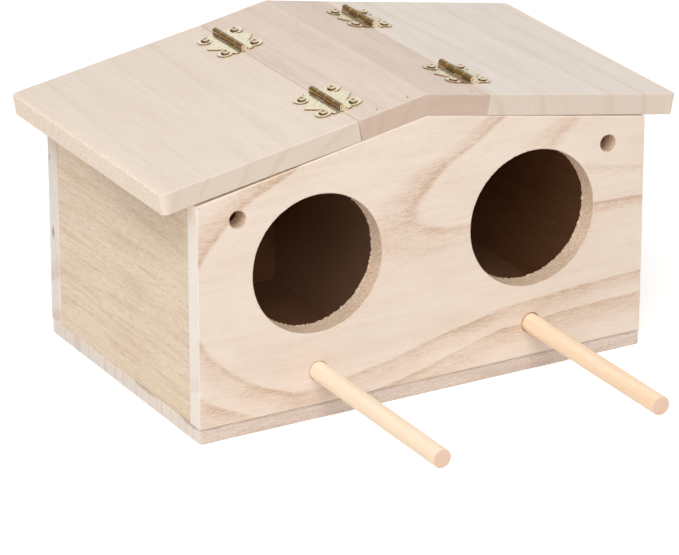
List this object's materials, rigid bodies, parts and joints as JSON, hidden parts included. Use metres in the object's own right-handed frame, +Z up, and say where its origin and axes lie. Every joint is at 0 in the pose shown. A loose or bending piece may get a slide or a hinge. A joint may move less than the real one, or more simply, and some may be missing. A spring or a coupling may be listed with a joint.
{
  "type": "bird breeding box",
  "caption": "Wooden nesting box with twin chambers, round entry holes, dowel perches and a low gabled roof whose outer boards lift on butterfly hinges.",
  "frame": {"origin": "centre of the underside of the base board", "axes": "+X along the front towards its right end, +Y from the front to the back, +Z up"},
  "size_m": [0.2996, 0.2894, 0.1621],
  "materials": {
    "base_wood": "sanded, unfinished",
    "front_wood": "sanded, unfinished",
    "side_wood": "sanded, unfinished",
    "divider_wood": "sanded, unfinished",
    "ridge_wood": "sanded, unfinished",
    "lid_wood": "sanded, unfinished",
    "pale_dowel": "turned, unfinished",
    "warm_dowel": "turned, unfinished",
    "hinge_brass": "bright plated",
    "pin_brass": "bright plated",
    "screw_brass": "bright plated",
    "nail_steel": "dull"
  },
  "bodies": {
    "box": {"base_board": "base_wood", "front_panel": "front_wood", "back_panel": "front_wood", "left_side_panel": "side_wood", "right_side_panel": "side_wood", "divider_panel": "divider_wood", "left_ridge_board": "ridge_wood", "right_ridge_board": "ridge_wood", "left_perch": "pale_dowel", "right_perch": "warm_dowel", "base_nails": "nail_steel", "left_ridge_board_nails": "nail_steel", "right_ridge_board_nails": "nail_steel", "left_front_hinge_fixed_leaf": "hinge_brass", "left_front_hinge_pin": "pin_brass", "left_front_hinge_fixed_screws": "screw_brass", "left_back_hinge_fixed_leaf": "hinge_brass", "left_back_hinge_pin": "pin_brass", "left_back_hinge_fixed_screws": "screw_brass", "right_front_hinge_fixed_leaf": "hinge_brass", "right_front_hinge_pin": "pin_brass", "right_front_hinge_fixed_screws": "screw_brass", "right_back_hinge_fixed_leaf": "hinge_brass", "right_back_hinge_pin": "pin_brass", "right_back_hinge_fixed_screws": "screw_brass"},
    "left_lid_body": {"left_lid": "lid_wood", "left_front_hinge_lid_leaf": "hinge_brass", "left_front_hinge_lid_screws": "screw_brass", "left_back_hinge_lid_leaf": "hinge_brass", "left_back_hinge_lid_screws": "screw_brass"},
    "right_lid_body": {"right_lid": "lid_wood", "right_front_hinge_lid_leaf": "hinge_brass", "right_front_hinge_lid_screws": "screw_brass", "right_back_hinge_lid_leaf": "hinge_brass", "right_back_hinge_lid_screws": "screw_brass"}
  },
  "joints": [
    {"name": "left_lid_hinge", "type": "hinge", "parent": "box", "child": "left_lid_body", "pos_m": [-0.03932, 0, 0.157], "axis": [0, 1, 0], "range_deg": [0, 118]},
    {"name": "right_lid_hinge", "type": "hinge", "parent": "box", "child": "right_lid_body", "pos_m": [0.03755, 0, 0.15732], "axis": [0, -1, 0], "range_deg": [0, 118]}
  ]
}
